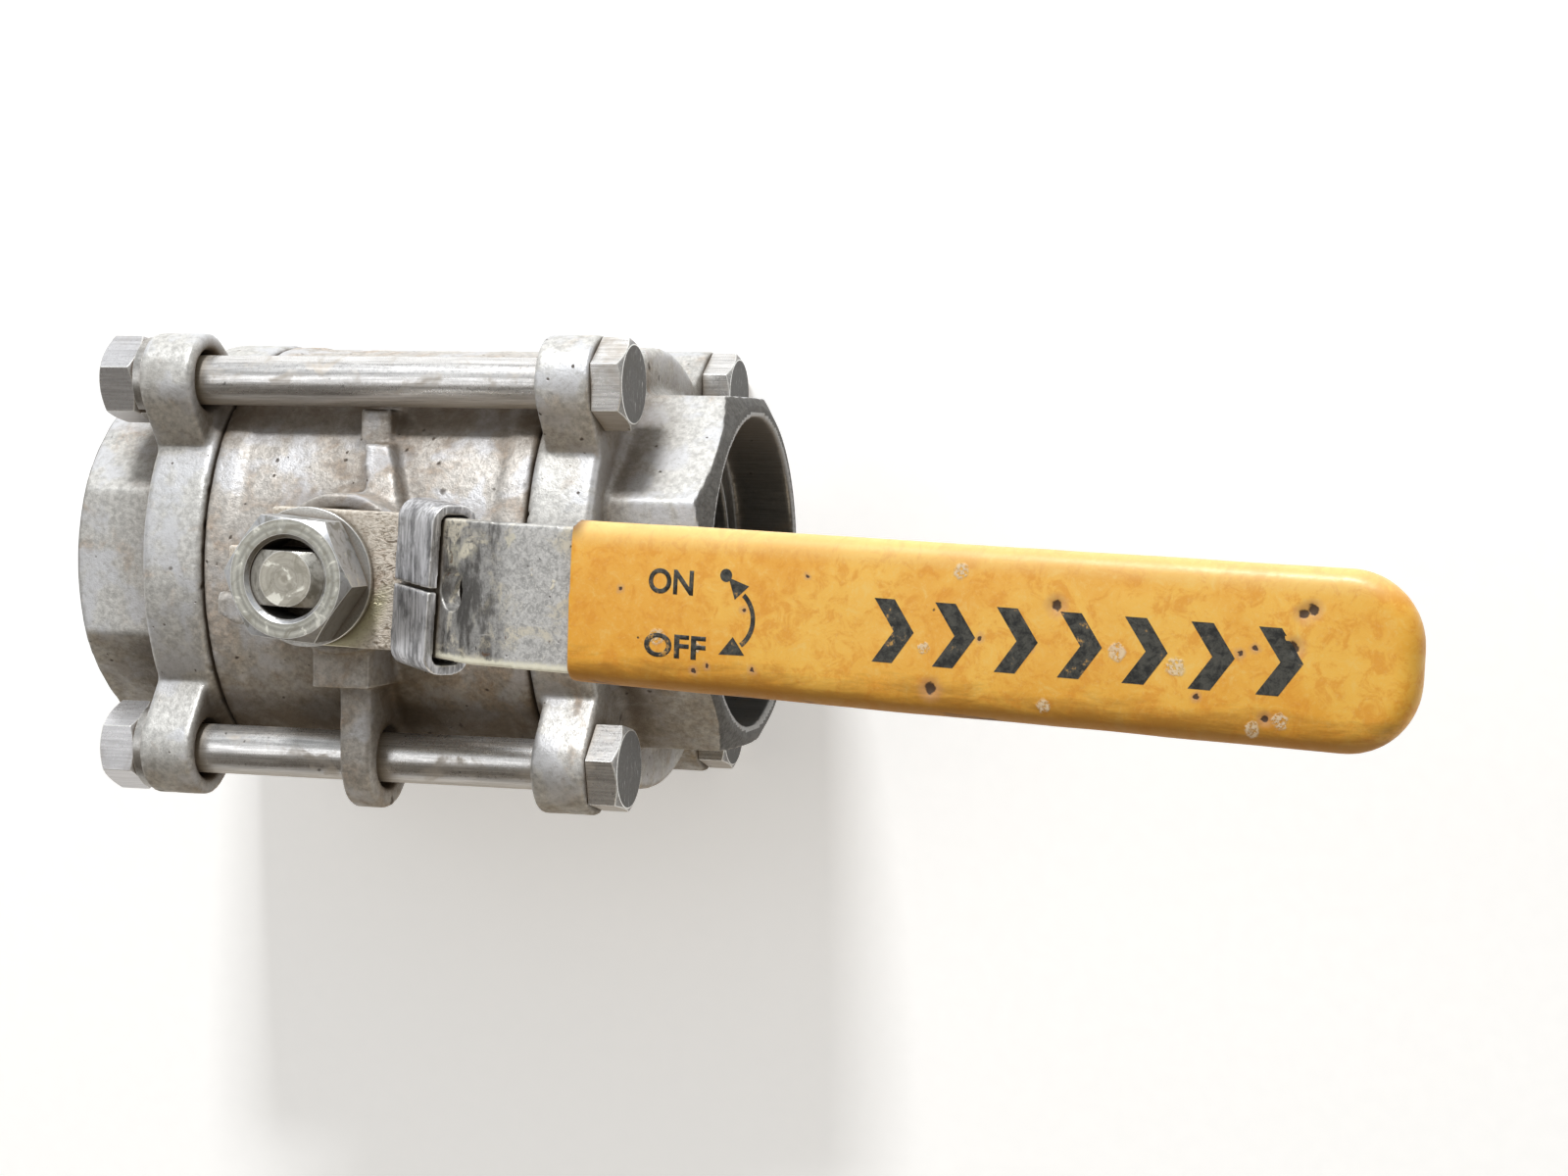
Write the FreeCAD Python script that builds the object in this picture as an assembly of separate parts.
import FreeCAD, Part
import math
import os

# Three-piece, full-port ball valve with socket-weld ends, a swing-out body and a locking lever.
# Frame: origin at the ball centre, +X along the pipe towards the lever's grip,
# +Z along the stem towards the lever, +Y across the pipe. Lengths are in millimetres.

V = FreeCAD.Vector
X_AXIS = V(1, 0, 0)
Y_AXIS = V(0, 1, 0)
Z_AXIS = V(0, 0, 1)
ORIGIN = V(0, 0, 0)

# ---- driving dimensions -------------------------------------------------------------
# pipe line
port_r = 32.5                 # full port of a DN65 valve
socket_r = 38.4               # takes a 76.1 mm pipe
socket_depth = 16.0
half_length = 82.0            # ball centre to end face
seam_x = 41.0                 # joint face between body and end cap

# end caps
flange_r = 55.3
flange_outer_x = 57.0
ear_inner_x = 43.6
ear_r = 11.3
ear_taper = 10.0              # degrees each flank opens towards the flange
bolt_offset = 45.0            # each bolt's Y and Z, so the bolts sit on a 90 mm square
hub_flats = 86.4              # across the flats of the octagonal hub
hub_bevel = 2.2
rim_r = 41.0                  # outer radius of the flat end face
root_fillet = 5.0             # between flange and hub
edge_chamfer = 1.0

# body
ring_r = 54.9
ring_inner_x = 34.0
barrel_r = 54.2
cavity_r = 48.7
boss_r = 18.7
boss_top = 66.6
lug_thickness = 8.0           # of the hinge lug and of the bolt rests, along X
lug_r = 12.2
bolt_clearance_r = 7.4

# ball, seats and body seals
ball_r = 48.0
seat_outer_r = 42.4
seat_back_x = 38.2
seat_front_x = 31.6
spigot_r = 48.4
spigot_x = 33.8
seal_inner_r = 48.6
seal_outer_r = 51.4
seal_depth = 2.0

# stem and its packing, heights along Z
stem_r = 11.0
thread_r = 9.0                # M18
stem_flats = 12.3             # across the two flats at the top
stem_top = 94.4
shoulder_r = 13.0
shoulder_bottom = 49.0
shoulder_top = 52.5
thrust_washer_top = 54.0
packing_bottom = 57.0
packing_r = 15.0
packing_ring_height = 1.5
gland_bottom = 61.5
gland_top = 64.3
tang_width = 12.0
tang_length = 20.0
tang_bottom = 39.6
slot_clearance = 0.45
running_gap = 0.05

# fasteners
bolt_r = 6.0                  # M12
bolt_flats = 19.0
head_height = 7.5
cap_nut_height = 9.4
spring_washer_height = 2.2
lever_nut_flats = 27.0        # M18
lever_nut_height = 10.8
lever_washer_r = 15.8
lever_washer_height = 1.6
gland_nut_bottom = 67.8
gland_nut_top = 76.6

# lever
lever_skew = -1.66            # degrees about the stem, taken up by play on the flats
lever_width = 30.9
lever_thickness = 5.0
lever_top = 82.0              # top of the flat root
riser_foot_x = 22.5
riser_head_x = 46.5
riser_head_z = 100.93
arm_slope = 10.87             # degrees
blade_end_x = 241.0
bend_inner_r = 4.0
padlock_r = 4.6
padlock_s = 22.3              # hole centre, measured up the riser from its foot
tail_x = -20.1
tongue_low_y = -3.6
tongue_high_y = 6.1
tail_shoulder_x = -9.7

# grip
grip_start_x = 71.0
grip_end_x = 245.0
grip_wall = 1.65
grip_end_r = 14.0
grip_edge_r = 3.9

# sliding lock on the riser
slide_wall = 2.2
slide_gap = 1.15              # at each side edge of the lever
slide_front_gap = 0.8
slide_back_gap = 1.1
slide_low_s = 1.9
slide_high_s = 17.7
slide_slit = 0.9
slide_corner_r = 4.3
slide_inner_r = 1.8
slide_tilt = -3.8             # degrees about the riser's normal, taken up by its slack

quadrants = [(1, 1), (-1, 1), (1, -1), (-1, -1)]


# ---- helpers ------------------------------------------------------------------------
def cylinder_x(radius, x_low, x_high, y=0.0, z=0.0):
    return Part.makeCylinder(radius, x_high - x_low, V(x_low, y, z), X_AXIS)


def cylinder_z(radius, z_low, z_high, x=0.0, y=0.0):
    return Part.makeCylinder(radius, z_high - z_low, V(x, y, z_low), Z_AXIS)


def box(x_low, x_high, y_low, y_high, z_low, z_high):
    return Part.makeBox(x_high - x_low, y_high - y_low, z_high - z_low, V(x_low, y_low, z_low))


def prism(points, direction):
    """A solid swept along a direction from a closed outline."""
    outline = Part.makePolygon(points + [points[0]])
    return Part.Face(outline).extrude(direction)


def turned_x(profile):
    """Revolve an outline of (x, radius) pairs about the pipe axis."""
    points = [V(x, 0, radius) for x, radius in profile]
    return Part.Face(Part.makePolygon(points + [points[0]])).revolve(ORIGIN, X_AXIS, 360)


def turned_z(profile):
    """Revolve an outline of (radius, z) pairs about the stem axis."""
    points = [V(radius, 0, z) for radius, z in profile]
    return Part.Face(Part.makePolygon(points + [points[0]])).revolve(ORIGIN, Z_AXIS, 360)


def regular_prism_x(sides, flats, x_low, x_high, turn=0.0, y=0.0, z=0.0):
    """A regular prism along X whose first flat faces +Z, turned by some degrees towards -Y."""
    corner_r = flats / 2 / math.cos(math.pi / sides)
    points = []
    for index in range(sides):
        angle = math.radians(turn) + math.pi / sides * (2 * index + 1)
        points.append(V(x_low, y - corner_r * math.sin(angle), z + corner_r * math.cos(angle)))
    return prism(points, V(x_high - x_low, 0, 0))


def hex_z(flats, z_low, z_high, turn):
    """A hexagon prism along Z with a corner at the given angle from +X."""
    corner_r = flats / 2 / math.cos(math.pi / 6)
    points = []
    for index in range(6):
        angle = math.radians(turn + 60 * index)
        points.append(V(corner_r * math.cos(angle), corner_r * math.sin(angle), z_low))
    return prism(points, V(0, 0, z_high - z_low))


def mirrored_x(shape):
    return shape.mirror(ORIGIN, X_AXIS)


def with_skew(shape):
    turned = shape.copy()
    turned.rotate(ORIGIN, Z_AXIS, lever_skew)
    return turned


def edges_where(shape, test):
    """Straight edges whose two end points both pass a test."""
    return [edge for edge in shape.Edges
            if isinstance(edge.Curve, Part.Line) and all(test(vertex.Point) for vertex in edge.Vertexes)]


def bend_edges(shape, x, z):
    """Edges across the strip, along Y, at a given X and Z."""
    return edges_where(shape, lambda point: abs(point.x - x) < 0.05 and abs(point.z - z) < 0.05)


def save(name, shape):
    shape = shape.removeSplitter() if len(shape.Solids) == 1 else shape
    if not shape.isValid():
        print("not valid:", name)
    shape.exportStep("parts/" + name + ".step")
    print(f"{name}: {len(shape.Solids)} solid(s), {shape.Volume:.0f} mm3")


# ---- end caps -----------------------------------------------------------------------
def cap_ear(side_y, side_z):
    """A round lug whose straight flanks open out towards the flange along the diagonal."""
    half = math.sqrt(0.5)

    def spot(outward, sideways):
        return V(ear_inner_x, side_y * (outward + sideways) * half, side_z * (outward - sideways) * half)

    centre = bolt_offset / half
    taper = math.radians(ear_taper)
    tangent_out = centre + ear_r * math.sin(taper)
    tangent_side = ear_r * math.cos(taper)
    root_out = flange_r - 10
    root_side = tangent_side + (tangent_out - root_out) * math.tan(taper)
    web = prism([spot(tangent_out, tangent_side), spot(root_out, root_side),
                 spot(root_out, -root_side), spot(tangent_out, -tangent_side)],
                V(flange_outer_x - ear_inner_x, 0, 0))
    lug = cylinder_x(ear_r, ear_inner_x, flange_outer_x, side_y * bolt_offset, side_z * bolt_offset)
    return lug.fuse(web)


def cap_hub():
    """Octagonal hub whose end face is bevelled at its corners, with a fillet at its root."""
    hub = regular_prism_x(8, hub_flats, flange_outer_x - 4, half_length)
    bevel_r = rim_r + hub_bevel * 4
    envelope = turned_x([(flange_outer_x - 4, 0), (flange_outer_x - 4, bevel_r + 4),
                         (half_length - hub_bevel, bevel_r), (half_length, rim_r), (half_length, 0)])
    hub = hub.common(envelope)
    low = flange_outer_x - 0.3
    high = low + root_fillet
    top_r = hub_flats / 2 - 0.8
    foot_r = top_r + root_fillet
    centre = V(high, 0, foot_r)
    middle = centre + V(-root_fillet, 0, -root_fillet) * math.sqrt(0.5)
    arc = Part.Arc(V(low, 0, foot_r), middle, V(high, 0, top_r)).toShape()
    sides = Part.makePolygon([V(high, 0, top_r), V(high, 0, port_r + 4), V(low - 2, 0, port_r + 4),
                              V(low - 2, 0, foot_r), V(low, 0, foot_r)])
    ring = Part.Face(Part.Wire([arc] + sides.Edges)).revolve(ORIGIN, X_AXIS, 360)
    return hub.fuse(ring)


def end_cap():
    flange = turned_x([(seam_x, 0), (seam_x, flange_r - edge_chamfer), (seam_x + edge_chamfer, flange_r),
                       (flange_outer_x - edge_chamfer, flange_r),
                       (flange_outer_x, flange_r - edge_chamfer), (flange_outer_x, 0)])
    spigot = cylinder_x(spigot_r, spigot_x, seam_x)
    cap = flange.fuse([spigot, cap_hub()] + [cap_ear(*quadrant) for quadrant in quadrants])
    cap = cap.cut(cylinder_x(port_r, spigot_x - 1, half_length + 1))
    cap = cap.cut(cylinder_x(socket_r, half_length - socket_depth, half_length + 1))
    cap = cap.cut(cylinder_x(seat_outer_r + running_gap, spigot_x - 1, seat_back_x))
    for side_y, side_z in quadrants:
        cap = cap.cut(cylinder_x(bolt_clearance_r, ear_inner_x - 3, flange_outer_x + 1,
                                 side_y * bolt_offset, side_z * bolt_offset))
    return cap


# ---- body ---------------------------------------------------------------------------
def body_shell():
    return turned_x([(-seam_x, 0), (-seam_x, ring_r - edge_chamfer), (-seam_x + edge_chamfer, ring_r),
                     (-ring_inner_x, ring_r), (-ring_inner_x, barrel_r), (ring_inner_x, barrel_r),
                     (ring_inner_x, ring_r), (seam_x - edge_chamfer, ring_r),
                     (seam_x, ring_r - edge_chamfer), (seam_x, 0)])


def hinge_lug():
    """Strap on the lever side, down to a ring that the body swings on."""
    half = lug_thickness / 2
    front = bolt_offset + lug_r
    strap = box(-half, half, -bolt_offset, -14, 38, front)
    ring = cylinder_x(lug_r, -half, half, -bolt_offset, bolt_offset)
    web = box(-half, half, -bolt_offset, -28, bolt_offset - lug_r, 40)
    hole = cylinder_x(bolt_clearance_r, -half - 1, half + 1, -bolt_offset, bolt_offset)
    return strap.fuse([ring, web]).cut(hole)


def bolt_rest(side_y, side_z):
    """Short prong that stops just inside a bolt."""
    half = lug_thickness / 2
    tip = side_y * (bolt_offset - bolt_r - 0.5)
    foot = side_y * 24
    near = side_z * 46.0
    back = side_z * 33.0
    return box(-half, half, min(foot, tip), max(foot, tip), min(back, near), max(back, near))


def wedge_rib():
    """Rib from the boss towards the bolt rest, wider and higher at the boss."""
    low = Part.makePolygon([V(-0.5, 30.2, 40), V(5.8, 30.2, 40), V(5.8, 30.2, 51.6), V(-0.5, 30.2, 51.6),
                            V(-0.5, 30.2, 40)])
    high = Part.makePolygon([V(3.8, 12, 40), V(12.9, 12, 40), V(12.9, 12, 60), V(3.8, 12, 60),
                             V(3.8, 12, 40)])
    return Part.makeLoft([low, high], True, True)


def stop_post():
    """Post in the cut-out of the lever root: its two faces end the lever's travel."""
    outline = [V(-22.6, -4.0, 45), V(-22.6, -9.2, 45), V(-18.4, -11.4, 45), V(-16.1, -11.4, 45),
               V(-16.1, -4.0, 45)]
    post = prism(outline, V(0, 0, lever_top + 0.6 - 45))
    top_edge = edges_where(post, lambda point: point.y > -4.1 and point.z > lever_top)
    return post.makeChamfer(edge_chamfer, top_edge)


def body():
    shell = body_shell()
    boss = cylinder_z(boss_r, 40, boss_top)
    pad = box(-7, 7, -26.8, 0, 40, boss_top - 1.4)
    additions = [boss, pad, hinge_lug(), wedge_rib(), stop_post()]
    additions += [bolt_rest(1, 1), bolt_rest(1, -1), bolt_rest(-1, -1)]
    casting = shell.fuse(additions)
    casting = casting.cut(cylinder_x(cavity_r, -seam_x - 1, seam_x + 1))
    for side in (-1, 1):
        low, high = sorted((side * (seam_x - seal_depth), side * (seam_x + 1)))
        casting = casting.cut(cylinder_x(seal_outer_r, low, high))
    casting = casting.cut(cylinder_z(shoulder_r + 0.3, 30, thrust_washer_top))
    casting = casting.cut(cylinder_z(stem_r + running_gap, 30, boss_top + 1))
    return casting.cut(cylinder_z(packing_r, packing_bottom, boss_top + 1))


# ---- ball, seats and seals ----------------------------------------------------------
def ball():
    sphere = Part.makeSphere(ball_r)
    bored = sphere.cut(cylinder_x(port_r, -ball_r - 1, ball_r + 1))
    slot_half = tang_width / 2 + slot_clearance
    slot = box(-slot_half, slot_half, -tang_length / 2 - 8, tang_length / 2 + 8, tang_bottom - 0.6, ball_r + 1)
    relief = cylinder_z(1.5, port_r - 4, ball_r)
    return bored.cut(slot).cut(relief)


def seat():
    """Ring with a spherical face that the ball turns against."""
    ring = cylinder_x(seat_outer_r, seat_front_x, seat_back_x).cut(
        cylinder_x(port_r, seat_front_x - 1, seat_back_x + 1))
    return ring.cut(Part.makeSphere(ball_r + running_gap))


def body_seal():
    ring = cylinder_x(seal_outer_r, seam_x - seal_depth, seam_x)
    return ring.cut(cylinder_x(seal_inner_r, seam_x - seal_depth - 1, seam_x + 1))


# ---- stem and packing ---------------------------------------------------------------
def double_d(width, radius, z_low, z_high):
    return cylinder_z(radius, z_low, z_high).common(
        box(-radius, radius, -width / 2, width / 2, z_low, z_high))


def stem():
    groove_low = thrust_washer_top + 0.3
    groove_high = packing_bottom - 0.2
    groove_r = 8.9
    shaft = turned_z([(0, shoulder_bottom), (shoulder_r, shoulder_bottom), (shoulder_r, shoulder_top),
                      (stem_r, shoulder_top), (stem_r, groove_low), (groove_r, groove_low),
                      (groove_r, groove_high), (stem_r, groove_high), (stem_r, gland_top),
                      (thread_r, gland_top), (thread_r, gland_nut_bottom), (0, gland_nut_bottom)])
    top = double_d(stem_flats, thread_r, gland_nut_bottom, stem_top)
    tip_r = 6.2
    tip_drop = 1.4
    tip = turned_z([(0, gland_nut_bottom), (thread_r, gland_nut_bottom),
                    (thread_r, stem_top - tip_drop), (tip_r, stem_top), (0, stem_top)])
    tang = box(-tang_width / 2, tang_width / 2, -tang_length / 2, tang_length / 2,
               tang_bottom, shoulder_bottom)
    tang = tang.common(cylinder_z(shoulder_r - 2, tang_bottom, shoulder_bottom))
    return shaft.fuse([top.common(tip), tang])


def thrust_washer():
    return turned_z([(stem_r + running_gap, shoulder_top + running_gap),
                     (shoulder_r + 0.2, shoulder_top + running_gap),
                     (shoulder_r + 0.2, thrust_washer_top), (stem_r + running_gap, thrust_washer_top)])


def stem_o_ring():
    section_r = 1.05
    middle = (thrust_washer_top + 0.3 + packing_bottom - 0.2) / 2
    return Part.makeTorus(stem_r - section_r, section_r, V(0, 0, middle), Z_AXIS)


def chevron_ring(z_low, rise, height):
    """Packing ring of V section: rise is how far the middle stands above the edges."""
    inner = stem_r + running_gap
    outer = packing_r
    middle = (inner + outer) / 2
    return turned_z([(inner, z_low), (middle, z_low + rise), (outer, z_low), (outer, z_low + height),
                     (middle, z_low + height + rise), (inner, z_low + height)])


packing_rise = 0.7


def packing_base():
    inner = stem_r + running_gap
    middle = (inner + packing_r) / 2
    top = packing_bottom + packing_ring_height - packing_rise
    return turned_z([(inner, packing_bottom), (packing_r, packing_bottom), (packing_r, top),
                     (middle, top + packing_rise), (inner, top)])


def packing_rings():
    start = packing_bottom + packing_ring_height - packing_rise
    height = 1.1
    return Part.makeCompound([chevron_ring(start + height * index, packing_rise, height)
                              for index in range(2)])


def packing_gland():
    """Follower ring: its underside fits over the top packing ring."""
    inner = stem_r + running_gap
    middle = (inner + packing_r) / 2
    low = packing_bottom + packing_ring_height - packing_rise + 2.2
    return turned_z([(inner, low), (middle, low + packing_rise), (packing_r, low),
                     (packing_r, gland_top), (inner, gland_top)])


def disc_springs():
    inner = thread_r + 0.2
    outer = 14.2
    thickness = 1.1
    cone = 0.6
    low = gland_top + 0.1
    middle = (low + gland_nut_bottom) / 2
    lower = turned_z([(inner, low + cone), (outer, low), (outer, low + thickness),
                      (inner, low + thickness + cone)])
    upper = turned_z([(inner, 2 * middle - low - cone), (outer, 2 * middle - low),
                      (outer, 2 * middle - low - thickness), (inner, 2 * middle - low - thickness - cone)])
    return Part.makeCompound([lower, upper])


# ---- nuts and washers ---------------------------------------------------------------
def chamfered_hex_z(flats, z_low, z_high, turn, bore_r, bottom_chamfer):
    slope = math.tan(math.radians(30))
    flat_r = flats / 2 - 0.25
    corner_r = flats / 2 / math.cos(math.pi / 6) + 0.2
    drop = (corner_r - flat_r) * slope
    foot = drop if bottom_chamfer else 0.0
    envelope = turned_z([(0, z_low), (flat_r if bottom_chamfer else corner_r, z_low),
                         (corner_r, z_low + foot + 0.001), (corner_r, z_high - drop),
                         (flat_r, z_high), (0, z_high)])
    nut = hex_z(flats, z_low, z_high, turn).common(envelope)
    sink = 0.9
    hole = turned_z([(0, z_low - 1), (bore_r, z_low - 1), (bore_r, z_high - sink),
                     (bore_r + sink, z_high), (bore_r + sink, z_high + 1), (0, z_high + 1)])
    return nut.cut(hole)


def lever_nut():
    low = lever_top + lever_washer_height
    return chamfered_hex_z(lever_nut_flats, low, low + lever_nut_height, -5.3 - lever_skew,
                           thread_r + running_gap, True)


def lever_washer():
    high = lever_top + lever_washer_height
    ring = cylinder_z(lever_washer_r, lever_top, high)
    return ring.cut(cylinder_z(thread_r + 0.3, lever_top - 1, high + 1))


def gland_nut():
    return chamfered_hex_z(lever_nut_flats, gland_nut_bottom, gland_nut_top, 17.0,
                           thread_r + running_gap, False)


def hex_envelope_x(flats, x_low, x_high, y, z, side):
    """A hexagon's chamfer cone along X, narrow end at x_high when side is 1, else at x_low."""
    slope = math.tan(math.radians(30))
    flat_r = flats / 2 - 0.3
    corner_r = flats / 2 / math.cos(math.pi / 6) + 0.2
    drop = (corner_r - flat_r) * slope
    if side > 0:
        profile = [(x_low, 0), (x_low, corner_r), (x_high - drop, corner_r), (x_high, flat_r), (x_high, 0)]
    else:
        profile = [(x_low, 0), (x_low, flat_r), (x_low + drop, corner_r), (x_high, corner_r), (x_high, 0)]
    cone = turned_x(profile)
    cone.translate(V(0, y, z))
    return cone


head_turns = {(1, 1): 6.2, (-1, 1): 15.0, (1, -1): 2.8, (-1, -1): 12.0}
nut_turns = {(1, 1): 16.0, (-1, 1): -1.0, (1, -1): 9.0, (-1, -1): 25.0}


def cap_bolts():
    nut_end = -flange_outer_x - spring_washer_height - cap_nut_height
    tip_x = nut_end - 1.0
    bolts = []
    for side_y, side_z in quadrants:
        y = side_y * bolt_offset
        z = side_z * bolt_offset
        head_end = flange_outer_x + head_height
        head = regular_prism_x(6, bolt_flats, flange_outer_x, head_end, head_turns[(side_y, side_z)], y, z)
        head = head.common(hex_envelope_x(bolt_flats, flange_outer_x, head_end, y, z, 1))
        shank = turned_x([(tip_x, 0), (tip_x, bolt_r - 0.9), (tip_x + 0.9, bolt_r),
                          (flange_outer_x, bolt_r), (flange_outer_x, 0)])
        shank.translate(V(0, y, z))
        bolts.append(head.fuse(shank))
    return Part.makeCompound(bolts)


def cap_nuts():
    high = -flange_outer_x - spring_washer_height
    low = high - cap_nut_height
    nuts = []
    for side_y, side_z in quadrants:
        y = side_y * bolt_offset
        z = side_z * bolt_offset
        nut = regular_prism_x(6, bolt_flats, low, high, nut_turns[(side_y, side_z)], y, z)
        nut = nut.common(hex_envelope_x(bolt_flats, low, high, y, z, -1))
        nut = nut.common(hex_envelope_x(bolt_flats, low, high, y, z, 1))
        nuts.append(nut.cut(cylinder_x(bolt_r + 0.02, low - 1, high + 1, y, z)))
    return Part.makeCompound(nuts)


def cap_spring_washers():
    high = -flange_outer_x
    low = high - spring_washer_height
    washers = []
    for index, (side_y, side_z) in enumerate(quadrants):
        y = side_y * bolt_offset
        z = side_z * bolt_offset
        ring = cylinder_x(10.3, low, high, y, z).cut(cylinder_x(bolt_r + 0.3, low - 1, high + 1, y, z))
        split = box(low - 1, high + 1, -0.6, 0.6, 5, 12)
        split.rotate(ORIGIN, X_AXIS, 50 + 70 * index)
        split.translate(V(0, y, z))
        washers.append(ring.cut(split))
    return Part.makeCompound(washers)


# ---- lever, grip and lock -----------------------------------------------------------
riser_angle = math.degrees(math.atan2(riser_head_z - lever_top, riser_head_x - riser_foot_x))


def lever_blank():
    """Bent strip: flat root, steep riser and long sloping arm, full width all along."""
    rise = math.tan(math.radians(arm_slope))
    end_z = riser_head_z + rise * (blade_end_x - riser_head_x)
    top = [(tail_x, lever_top), (riser_foot_x, lever_top), (riser_head_x, riser_head_z),
           (blade_end_x, end_z)]
    angles = [0.0, math.radians(riser_angle), math.radians(arm_slope)]
    under = [(tail_x, lever_top - lever_thickness)]
    for index in (1, 2):
        before, after = angles[index - 1], angles[index]
        half_turn = (after - before) / 2
        lean = (before + after) / 2
        reach = lever_thickness / math.cos(half_turn)
        x, z = top[index]
        under.append((x + reach * math.sin(lean), z - reach * math.cos(lean)))
    under.append((blade_end_x + lever_thickness * math.sin(angles[2]),
                  end_z - lever_thickness * math.cos(angles[2])))
    half = lever_width / 2
    points = [V(x, -half, z) for x, z in top + under[::-1]]
    blank = prism(points, V(0, lever_width, 0))
    outer_r = bend_inner_r + lever_thickness
    bends = [(top[1], bend_inner_r), (under[1], outer_r), (top[2], outer_r), (under[2], bend_inner_r)]
    for (x, z), radius in bends:
        blank = blank.makeFillet(radius, bend_edges(blank, x, z))
    return blank


def root_outline():
    """Plan of the root: round below the stem, where the stop post travels, with a tail tongue."""
    half = lever_width / 2
    keep = cylinder_z(half, 0, 200)
    keep = keep.fuse(box(0, 300, -half, half, 0, 200))
    keep = keep.fuse(box(tail_shoulder_x, 1, 0, half, 0, 200))
    return keep.fuse(box(tail_x, 0, tongue_low_y, tongue_high_y, 0, 200))


def riser_frame(shape):
    """Move a shape from riser coordinates (s up the riser, y, n out of its top face) into place."""
    shape.rotate(ORIGIN, Y_AXIS, -riser_angle)
    shape.translate(V(riser_foot_x, 0, lever_top))
    return shape


def arm_frame(shape):
    """Move a shape from arm coordinates (x along the arm, z out of its top face) into place."""
    shape.rotate(ORIGIN, Y_AXIS, -arm_slope)
    shape.translate(V(riser_head_x, 0, riser_head_z))
    return shape


def rounded_end_bar(x_low, x_high, width, z_low, z_high, corner_r):
    bar = box(x_low, x_high, -width / 2, width / 2, z_low, z_high)
    corners = edges_where(bar, lambda point: abs(point.x - x_high) < 1e-6)
    corners = [edge for edge in corners if abs(edge.Vertexes[0].Z - edge.Vertexes[-1].Z) > 1]
    return bar.makeFillet(corner_r, corners)


def arm_length(x):
    return (x - riser_head_x) / math.cos(math.radians(arm_slope))


def lever():
    blank = lever_blank().common(root_outline())
    rounded = arm_frame(rounded_end_bar(-80, arm_length(blade_end_x) - 0.5, lever_width,
                                        -60, 60, grip_end_r - grip_wall))
    blank = blank.common(rounded)
    hole = double_d(stem_flats + 0.6, thread_r + 0.3, lever_top - 20, lever_top + 5)
    padlock = riser_frame(cylinder_z(padlock_r, -20, 20, padlock_s, 0))
    return blank.cut(hole).cut(padlock)


def lever_grip(blade):
    """Dipped sleeve over the arm: open at the riser end, closed and rounded at the tip."""
    start = arm_length(grip_start_x)
    end = arm_length(grip_end_x)
    width = lever_width + 2 * grip_wall
    bar = rounded_end_bar(start, end, width, -lever_thickness - grip_wall, grip_wall, grip_end_r)
    long_edges = [edge for edge in bar.Edges if max(vertex.X for vertex in edge.Vertexes) > start + 1
                  and abs(edge.Vertexes[0].Z - edge.Vertexes[-1].Z) < 1e-6]
    bar = bar.makeFillet(grip_edge_r, long_edges)
    return arm_frame(bar).cut(blade)


def lock_slide():
    """Sheet channel wrapped round the riser, with its two front flaps almost meeting."""
    inner_half = lever_width / 2 + slide_gap
    outer_half = inner_half + slide_wall
    inner_low = -lever_thickness - slide_back_gap
    inner_high = slide_front_gap
    outer_low = inner_low - slide_wall
    outer_high = inner_high + slide_wall
    length = slide_high_s - slide_low_s
    outer = box(slide_low_s, slide_high_s, -outer_half, outer_half, outer_low, outer_high)
    outer = outer.makeFillet(slide_corner_r, edges_along_x(outer))
    inner = box(slide_low_s - 1, slide_high_s + 1, -inner_half, inner_half, inner_low, inner_high)
    inner = inner.makeFillet(slide_inner_r, edges_along_x(inner))
    slit = box(slide_low_s - 1, slide_low_s + length + 1, -slide_slit / 2, slide_slit / 2, -1, outer_high + 1)
    channel = outer.cut(inner).cut(slit)
    channel.rotate(V((slide_low_s + slide_high_s) / 2, 0, 0), Z_AXIS, slide_tilt)
    return riser_frame(channel)


def edges_along_x(shape):
    return [edge for edge in shape.Edges
            if abs(edge.Vertexes[0].Y - edge.Vertexes[-1].Y) < 1e-6
            and abs(edge.Vertexes[0].Z - edge.Vertexes[-1].Z) < 1e-6]


# ---- write every piece --------------------------------------------------------------
def main():
    os.makedirs("parts", exist_ok=True)
    cap = end_cap()
    save("end_cap_right", cap)
    save("end_cap_left", mirrored_x(cap))
    save("body", body())
    save("ball", ball())
    for name, maker in (("seat", seat), ("body_seal", body_seal)):
        shape = maker()
        save(name + "_right", shape)
        save(name + "_left", mirrored_x(shape))
    save("stem", with_skew(stem()))
    save("stem_thrust_washer", thrust_washer())
    save("stem_o_ring", stem_o_ring())
    save("packing_base_ring", packing_base())
    save("packing_rings", packing_rings())
    save("packing_gland", packing_gland())
    save("disc_springs", disc_springs())
    save("gland_nut", with_skew(gland_nut()))
    blade = lever()
    save("lever", with_skew(blade))
    save("lever_grip", with_skew(lever_grip(blade)))
    save("lock_slide", with_skew(lock_slide()))
    save("lever_washer", with_skew(lever_washer()))
    save("lever_nut", with_skew(lever_nut()))
    save("cap_bolts", cap_bolts())
    save("cap_nuts", cap_nuts())
    save("cap_spring_washers", cap_spring_washers())


main()
